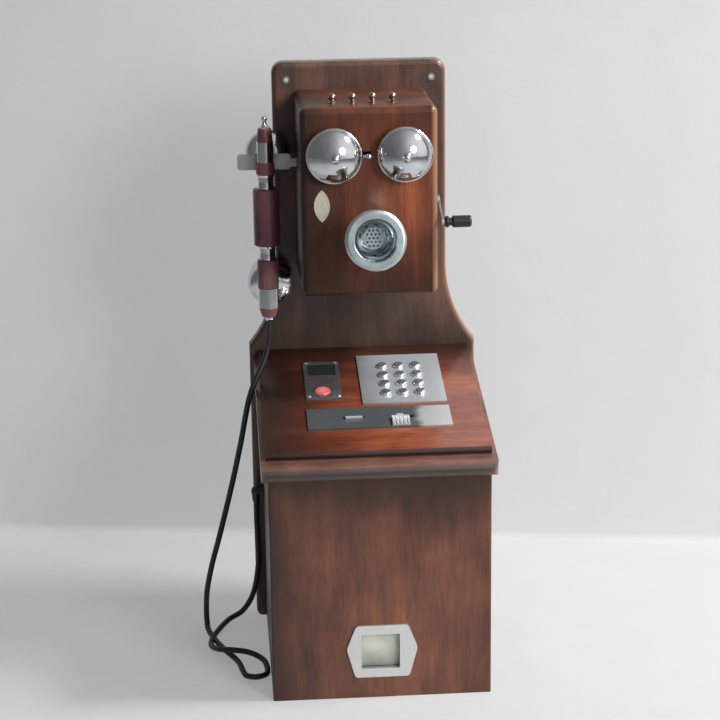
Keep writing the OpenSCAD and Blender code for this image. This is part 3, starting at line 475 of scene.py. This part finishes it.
def makeMarked(name, look):
    finish, tree, shader = startFinish(name, {"Metallic": look["metal"], **look.get("coat", {})})
    smudge = addSmudge(tree, shader, look)
    marked = look.get("marked") or [look["mark"] * c for c in look["colour"]]
    colour = mixColour(tree, smudge, linear(*look["colour"]), linear(*marked))
    setSockets(tree, shader, {"Base Color": colour})
    if "bump" in look:
        addBump(tree, shader, smudge, *look["bump"])
    return finish


finishes.update({name: makeMarked(name, look) for name, look in markedFinishes.items()})


# brushed plates on the desk

desk = {"back": (0.0, 0.12, 0.3587), "slope": 12.7, "plate": 0.002}  # lid top at the board, degrees, thickness

brushing = {
    "metal": 0.6,
    "strokes": (4.0, 700.0, 700.0),
    "stroke": {"Scale": 1.0, "Detail": 3.0, "Roughness": 0.6},  # fine brushing across the plate
    "haze": {"Scale": 26.0, "Detail": 4.0, "Roughness": 0.55},  # dull patches where hands have been
    "strokeShare": 0.3,
    "roughFrom": (0.4, 0.9),
    "roughTo": (0.26, 0.38),
    "drift": 0.03,  # metres that the haze moves the border of the painted shade
    "raised": (0.0003, 0.0009),  # above the plate
    # painted highlight on what stands above the plate
    "raisedHighlight": (236, 238, 238),
    "bump": (0.03, 0.0002),
}

plateFinishes = {
    "steel_plate": {"colour": (198, 205, 208), "shadedTone": (122, 127, 130), "span": (-0.045, 0.06)},
    "coin_steel": {"colour": (204, 208, 208), "shadedTone": (104, 111, 112), "span": (0.068, 0.08)},
}  # painted shade to the left of the span, and a painted highlight on what stands above the plate


def deskNormal(look):
    slope = math.radians(look["slope"])
    return Vector((0.0, -math.sin(slope), math.cos(slope)))


def makeBrushed(name, look, brush):
    finish, tree, shader = startFinish(name, {"Metallic": brush["metal"]})
    place = objectPlace(tree)
    stroke = addNoise(tree, objectPlace(tree, brush["strokes"]), brush["stroke"])
    haze = addNoise(tree, place, brush["haze"])
    worn = addMath(tree, "MULTIPLY_ADD", stroke, brush["strokeShare"], haze)
    rough = mapSpan(tree, worn, brush["roughFrom"], brush["roughTo"])
    across = addMath(tree, "MULTIPLY_ADD", worn, brush["drift"], splitAxes(tree, place)["X"])
    # painted shade to the left of the span, painted light to its right
    litShare = mapSpan(tree, across, look["span"], kind="SMOOTHSTEP")
    colour = mixColour(tree, litShare, linear(*look["shadedTone"]), linear(*look["colour"]))
    up = deskNormal(desk)
    top = Vector(desk["back"]).dot(up) + desk["plate"]
    height = addVector(tree, "DOT_PRODUCT", place, up, out="Value")
    # painted highlight on what stands above the plate
    above = mapSpan(tree, height, [top + lift for lift in brush["raised"]])
    colour = mixColour(tree, above, colour, linear(*brush["raisedHighlight"]))
    setSockets(tree, shader, {"Base Color": colour, "Roughness": rough})
    addBump(tree, shader, stroke, *brush["bump"])
    return finish


finishes.update({name: makeBrushed(name, look, brushing) for name, look in plateFinishes.items()})


# return flap, with painted shade round its edge

returnFlap = {
    "colour": (216, 219, 204),
    # painted shade round the border of the sunken flap, deeper on the right
    "recessShade": (70, 80, 80),
    "paintedShade": {"Middle": (-0.008, -0.134, 0.064),  # a little left of the window's own middle
              "Half": (0.0275, 1.0, 0.023), "Soft": 0.04, "Amount": 0.95},
    "rough": (0.3, 0.42),
    "scale": 60.0,
    "metal": 0.5,
}


def makeFlap(look):
    finish, tree, shader = startFinish("flap_metal", {"Metallic": look["metal"]})
    recessShade = placeGroup(tree, edgeStain, {"Place": objectPlace(tree), **look["paintedShade"]})["Mask"]
    # painted shade mixed in by the shade mask
    colour = mixColour(tree, recessShade, linear(*look["colour"]), linear(*look["recessShade"]))
    setSockets(tree, shader, {"Base Color": colour})
    addSmudge(tree, shader, look)
    return finish


finishes["flap_metal"] = makeFlap(returnFlap)


# mouthpiece horn and its perforated face

horn = {
    "foot": (0.0014, -0.027, 0.5344),  # where the horn's axis leaves the box
    "tilt": 8.0,
    "face": 0.036,  # along the axis to the perforated face
    "sunk": (-0.0009, -0.0002),  # below the face, where the holes are painted dark as shade
    "bowl": 0.0235,  # radius of the bowl inside the rim
    "rimSoft": 0.001,
    "rimColour": (196, 207, 208),
    "rimSmudge": {"Scale": 55.0, "Low": 0.2, "High": 0.3},
    "bowlRough": 0.05,
    "colour": (188, 197, 202),
    # painted shade inside the holes
    "hole": (14, 14, 16),
    "rough": (0.22, 0.36),
    "scale": 120.0,
}


def hornAxis(look):
    tilt = math.radians(look["tilt"])
    return Vector((0.0, -math.cos(tilt), math.sin(tilt)))


def makePerforated(look):
    finish, tree, shader = startFinish("perforated_face", {})
    axis = hornAxis(look)
    face = Vector(look["foot"]).dot(axis) + look["face"]
    depth = addVector(tree, "DOT_PRODUCT", objectPlace(tree), axis, out="Value")
    sunk = mapSpan(tree, depth, [face + drop for drop in look["sunk"]], (1.0, 0.0))
    # the hole walls painted dark as shade, and not metal
    colour = mixColour(tree, sunk, linear(*look["colour"]), linear(*look["hole"]))
    bare = mapSpan(tree, sunk, (0.0, 1.0), (1.0, 0.0))
    setSockets(tree, shader, {"Base Color": colour, "Metallic": bare})
    addSmudge(tree, shader, look)
    return finish


def makeHorn(look):
    finish, tree, shader = startFinish("horn_metal", {"Metallic": 1.0})
    place = objectPlace(tree)
    away = addVector(tree, "SUBTRACT", place, look["foot"])
    side = addVector(tree, "CROSS_PRODUCT", away, hornAxis(look))  # its length is the radius
    radius = addVector(tree, "LENGTH", side, out="Value")
    rim = mapSpan(tree, radius, (look["bowl"], look["bowl"] + look["rimSoft"]))  # satin rim round a bright bowl
    smudge = placeGroup(tree, handSmudge, {"Vector": place, **look["rimSmudge"]})
    rough = addMath(tree, "MULTIPLY_ADD", rim, smudge["Roughness"], look["bowlRough"])
    colour = mixColour(tree, rim, linear(*look["colour"]), linear(*look["rimColour"]))
    setSockets(tree, shader, {"Base Color": colour, "Roughness": rough})
    return finish


finishes["perforated_face"] = makePerforated(horn)
finishes["horn_metal"] = makeHorn(horn)


# red button, lit from inside

redLamp = {
    "rim": (222, 66, 70),
    "heart": (255, 164, 154),
    "heartFrom": 0.75,
    "ball": 85.0,  # one over the glow's radius
    "glow": 0.24,
    "rough": 0.25,
    "coat": 0.5,
}


def makeRedLens(look):
    finish, tree, shader = startFinish("red_lens", {
        "Roughness": look["rough"], "Coat Weight": look["coat"], "Emission Strength": look["glow"]})
    low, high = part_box("red_button")
    middle = (Vector(low) + Vector(high)) / 2
    ball = addNode(tree, "ShaderNodeTexGradient", gradient_type="SPHERICAL")
    place = objectPlace(tree, (look["ball"],) * 3, tuple(-look["ball"] * middle))
    setSockets(tree, ball, {"Vector": place})
    colour = makeRamp(tree, ball.outputs["Fac"], [
        (0.0, linear(*look["rim"])), (look["heartFrom"], linear(*look["heart"]))])
    setSockets(tree, shader, {"Base Color": colour, "Emission Color": colour})
    return finish


finishes["red_lens"] = makeRedLens(redLamp)


# every piece has its slot's finish, or one of its own

ownFinish = {
    "side_panels": "shaded_side_wood",
    "desk_board": "shaded_ledge_wood",
    "mouth_capsule": "perforated_face",
    "return_flap": "flap_metal",
    "coin_plate": "coin_steel",
}
ownFinish.update({"key_%d" % i: "key_metal" for i in range(1, 13)})


def giveFinish(piece, name):
    piece.data.materials.clear()
    piece.data.materials.append(finishes[name])


for part in frame["record"]["subparts"]:
    giveFinish(nodes[part["node"]], ownFinish.get(part["node"], part["material_slot"]))
giveFinish(handsetCord, "black_cord")
print("finishes given:", len(finishes))


# floor, backdrop and light

studio = {
    "wallAt": (0.21, 0.36),  # a point of the wall's foot
    "wallTurn": -9.0,  # degrees
    "front": 3.2,
    "half": 3.2,
    "wallTop": 2.4,
    "bend": 0.012,
    "bendSteps": 8,
    "paper": {"Roughness": 0.8, "Specular IOR Level": 0.2},
    "crease": {"Scale": 7.0, "Detail": 6.0, "Roughness": 0.6, "Distortion": 0.6},
    "creaseSpan": (0.3, 0.7),
    "creaseTone": 0.97,
    "bump": (0.12, 0.01),
    "pale": (220, 220, 221),
    "farShade": (150, 150, 152),  # painted shade: the floor and wall darker away from the object
    "farSpan": (0.9, 1.9),
    "shown": {"left": (182, 182, 183), "right": (214, 214, 215), "span": (-0.6, 0.6),
              "share": 0.5},  # painted light seen by the camera and by the metal: darker on the left, brighter on the right
}

lamps = {
    "highRight": {"place": (1.45, -0.25, 2.15), "aim": (0.0, 0.03, 0.34), "size": (0.45, 0.45),
                  "spread": 120.0, "power": 24.0},
    "windowRight": {"place": (1.6, -2.6, 1.5), "aim": (0.0, 0.1, 0.4), "size": (1.1, 1.3),
                    "spread": 80.0, "power": 12.0},
}

roomLight = {
    "toward": (0.85, -0.35, 0.38),  # the bright side of the room
    "stops": [(0.0, 0.03), (0.35, 0.05), (0.6, 0.18), (0.74, 0.32), (1.0, 1.0)],
    "shown": [(0.0, 0.14), (0.35, 0.16), (0.6, 0.24), (0.74, 0.4), (1.0, 1.0)],  # what the camera and the metal see
}


def seenRays(tree):
    rays = addNode(tree, "ShaderNodeLightPath").outputs
    first = addMath(tree, "MAXIMUM", rays["Is Camera Ray"], rays["Is Glossy Ray"])
    return addMath(tree, "MAXIMUM", first, rays["Is Transmission Ray"])


def makePaper(look):
    finish, tree, shader = startFinish("paleSweep", look["paper"])
    place = objectPlace(tree)
    crease = addNoise(tree, place, look["crease"])  # faint creases of a paper backdrop
    creased = [look["creaseTone"] * c for c in look["pale"]]
    pale = makeRamp(tree, crease, [
        (look["creaseSpan"][0], linear(*creased)), (look["creaseSpan"][1], linear(*look["pale"]))])
    reach = addVector(tree, "LENGTH", place, out="Value")
    # painted shade far from the object
    farShade = mapSpan(tree, reach, look["farSpan"], kind="SMOOTHSTEP")
    setSockets(tree, shader, {"Base Color": mixColour(tree, farShade, pale, linear(*look["farShade"]))})
    addBump(tree, shader, crease, *look["bump"])
    shown = look["shown"]
    # painted light: darker on the left, brighter on the right
    across = mapSpan(tree, splitAxes(tree, place)["X"], shown["span"])
    tone = makeRamp(tree, across, [(0.0, linear(*shown["left"])), (1.0, linear(*shown["right"]))])
    glow = addNode(tree, "ShaderNodeEmission")
    setSockets(tree, glow, {"Color": mixColour(tree, farShade, tone, linear(*look["farShade"]))})
    share = addMath(tree, "MULTIPLY", seenRays(tree), shown["share"])
    seen = mixShader(tree, share, shader.outputs["BSDF"], glow.outputs["Emission"])
    side = addNode(tree, "ShaderNodeNewGeometry")  # clear from behind, so that the back can be seen
    clear = addNode(tree, "ShaderNodeBsdfTransparent")
    paper = mixShader(tree, side.outputs["Backfacing"], seen, clear.outputs["BSDF"])
    setSockets(tree, tree.nodes["Material Output"], {"Surface": paper})
    finish.cycles.emission_sampling = "NONE"
    return finish


def layFloor(look):
    form = bmesh.new()
    front = form.verts.new((-look["half"], -look["front"], 0.0))
    corner = form.verts.new((-look["half"], 0.0, 0.0))
    top = form.verts.new((-look["half"], 0.0, look["wallTop"]))
    form.edges.new((front, corner))
    form.edges.new((corner, top))
    bmesh.ops.bevel(form, geom=[corner], offset=look["bend"], offset_type="OFFSET", segments=look["bendSteps"],
                    profile=0.5, affect="VERTICES", material=-1)
    sweep = bmesh.ops.extrude_edge_only(form, edges=form.edges[:])
    moved = [v for v in sweep["geom"] if isinstance(v, bmesh.types.BMVert)]
    bmesh.ops.translate(form, verts=moved, vec=(2 * look["half"], 0, 0))
    bmesh.ops.recalc_face_normals(form, faces=form.faces[:])
    widest = max(form.faces, key=lambda face: face.calc_area())
    if widest.normal.z - widest.normal.y < 0:
        bmesh.ops.reverse_faces(form, faces=form.faces[:])
    turn = Matrix.Rotation(math.radians(look["wallTurn"]), 3, "Z")
    bmesh.ops.rotate(form, verts=form.verts[:], cent=(0, 0, 0), matrix=turn)
    bmesh.ops.translate(form, verts=form.verts[:], vec=(*look["wallAt"], 0))
    mesh = bpy.data.meshes.new("paleSweep")
    form.to_mesh(mesh)
    form.free()
    mesh.shade_smooth()
    mesh.materials.append(makePaper(look))
    sweepPiece = bpy.data.objects.new("paleSweep", mesh)
    scene.collection.objects.link(sweepPiece)


def addLamp(name, look):
    data = bpy.data.lights.new(name, "AREA")
    data.shape = "ELLIPSE"
    data.size, data.size_y = look["size"]
    data.energy = look["power"]
    data.spread = math.radians(look["spread"])
    lamp = bpy.data.objects.new(name, data)
    lamp.location = look["place"]
    lamp.rotation_euler = (Vector(look["aim"]) - Vector(look["place"])).to_track_quat("-Z", "Y").to_euler()
    scene.collection.objects.link(lamp)


def lightWorld(look):
    world = bpy.data.worlds.new("dimRoom")
    scene.world = world
    world.use_nodes = True
    tree = world.node_tree
    around = addNode(tree, "ShaderNodeTexCoord").outputs["Generated"]
    facing = addVector(tree, "DOT_PRODUCT", around, Vector(look["toward"]).normalized(), out="Value")
    facing = mapSpan(tree, facing, (-1.0, 1.0))
    light, shown = (makeRamp(tree, facing, [(place, grey(value)) for place, value in look[stops]])
                    for stops in ("stops", "shown"))
    setSockets(tree, tree.nodes["Background"], {"Color": mixColour(tree, seenRays(tree), light, shown)})


layFloor(studio)
for name, look in lamps.items():
    addLamp(name, look)
lightWorld(roomLight)
scene.view_settings.view_transform = "Standard"
print("studio lit")
